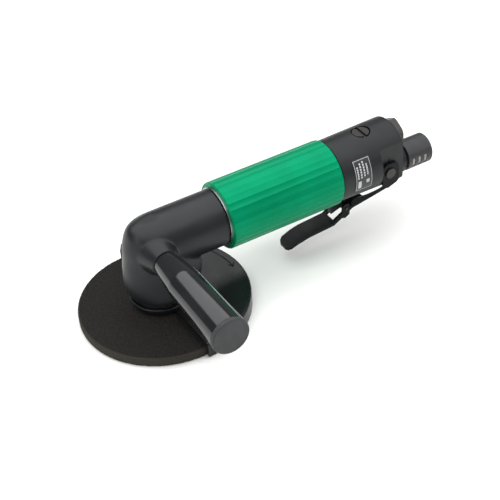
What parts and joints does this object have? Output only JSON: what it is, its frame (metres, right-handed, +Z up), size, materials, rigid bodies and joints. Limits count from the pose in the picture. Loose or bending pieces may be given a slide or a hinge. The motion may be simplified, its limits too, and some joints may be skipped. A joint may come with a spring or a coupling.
{
  "type": "angle grinder",
  "caption": "Air-driven right-angle grinder: depressed-centre wheel in a half guard, side handle, ribbed green grip, lever throttle with lock-off catch and swivelling slotted exhaust.",
  "frame": {"origin": "on the spindle's axis, in the plane of the grinding wheel's working face", "axes": "+Z up the spindle, +X back along the motor to the air inlet, -Y out along the side handle"},
  "size_m": [0.299, 0.1831, 0.0879],
  "materials": {
    "black_enamel": "satin",
    "dark_steel": "blackened, satin",
    "steel": "ground",
    "seal_rubber": "matte",
    "abrasive": "coarse grain",
    "black_steel": "satin",
    "black_grip": "gloss",
    "black_cap": "matte",
    "green_anodised": "gloss-satin",
    "cast_iron": "machined",
    "vane_composite": "matte",
    "black_anodised": "satin",
    "gasket": "matte",
    "label": "satin",
    "brass": "satin",
    "black_polymer": "satin",
    "felt": "matte"
  },
  "bodies": {
    "housing": {"angle_head": "black_enamel", "grease_plug": "dark_steel", "nose_housing": "dark_steel", "bearing_lock_ring": "steel", "spindle_seal": "seal_rubber", "spindle_bearing_outer": "steel", "top_needle_bearing": "steel", "handle_stud": "steel", "handle_grip": "black_grip", "handle_end_cap": "black_cap", "pinion_front_bearing_outer": "steel", "pinion_rear_bearing_outer": "steel", "pinion_bearing_spacer": "steel", "coupling_ring": "steel", "motor_casing": "steel", "grip_sleeve": "green_anodised", "front_end_plate": "cast_iron", "rotor_front_bearing_outer": "steel", "cylinder_liner": "steel", "rear_end_plate": "cast_iron", "rotor_rear_bearing_outer": "steel", "throttle_housing": "black_anodised", "housing_gasket": "gasket", "label_plate": "label", "valve_bush": "brass", "valve_seat_ring": "seal_rubber", "valve_spring": "steel", "inlet_bushing": "dark_steel", "inlet_strainer": "brass", "exhaust_collar": "black_anodised", "lever_pivot_pins": "dark_steel"},
    "spindle": {"spindle": "steel", "crown_gear": "steel", "spindle_key": "steel", "gear_circlip": "dark_steel", "spindle_bearing_inner": "steel", "inner_flange": "dark_steel", "grinding_wheel": "abrasive", "flange_nut": "dark_steel"},
    "rotor": {"rotor": "steel", "rotor_vanes": "vane_composite", "bevel_pinion": "steel", "pinion_front_bearing_inner": "steel", "pinion_rear_bearing_inner": "steel", "rotor_front_bearing_inner": "steel", "rotor_rear_bearing_inner": "steel"},
    "guard": {"wheel_guard": "black_steel", "guard_clamp_band": "black_steel", "guard_clamp_screw": "dark_steel"},
    "lever": {"throttle_lever": "black_steel", "catch_pin": "dark_steel", "catch_spring": "steel"},
    "catch": {"lock_off_catch": "black_polymer"},
    "valve": {"valve_stem": "steel"},
    "regulator": {"power_regulator": "dark_steel", "regulator_o_ring": "seal_rubber"},
    "deflector": {"exhaust_deflector": "black_polymer", "silencer_felt": "felt"}
  },
  "joints": [
    {"name": "spindle_spin", "type": "hinge", "parent": "housing", "child": "spindle", "pos_m": [0, 0, 0], "axis": [0, 0, 1], "continuous": true},
    {"name": "rotor_spin", "type": "hinge", "parent": "housing", "child": "rotor", "pos_m": [0.098, 0, 0.0623], "axis": [1, 0, 0], "continuous": true},
    {"name": "guard_swivel", "type": "hinge", "parent": "housing", "child": "guard", "pos_m": [0, 0, 0.0148], "axis": [0, 0, 1], "range_deg": [-90, 90]},
    {"name": "throttle_squeeze", "type": "hinge", "parent": "housing", "child": "lever", "pos_m": [0.1886, 0, 0.0562], "axis": [0, 1, 0], "range_deg": [0, 8], "stiffness_Nm_per_rad": 0.8, "springref_deg": -6.88},
    {"name": "catch_tilt", "type": "hinge", "parent": "lever", "child": "catch", "pos_m": [0.1575, 0, 0.0275], "axis": [0, 1, 0], "range_deg": [0, 20], "stiffness_Nm_per_rad": 0.01, "springref_deg": -17.19},
    {"name": "valve_slide", "type": "slide", "parent": "housing", "child": "valve", "axis": [0, 0, 1], "range_m": [0, 0.00315], "deforming": ["valve_spring"]},
    {"name": "regulator_turn", "type": "hinge", "parent": "housing", "child": "regulator", "pos_m": [0.1765, 0, 0.0843], "axis": [0, 0, 1], "range_deg": [0, 90]},
    {"name": "deflector_swivel", "type": "hinge", "parent": "housing", "child": "deflector", "pos_m": [0.2265, 0, 0.049], "axis": [1, 0, 0], "range_deg": [-180, 180]}
  ],
  "couplings": [
    {"joint": "rotor_spin", "follows": "spindle_spin", "ratio": 2.1538},
    {"joint": "valve_slide", "follows": "throttle_squeeze", "m_per_rad": 0.0222}
  ]
}
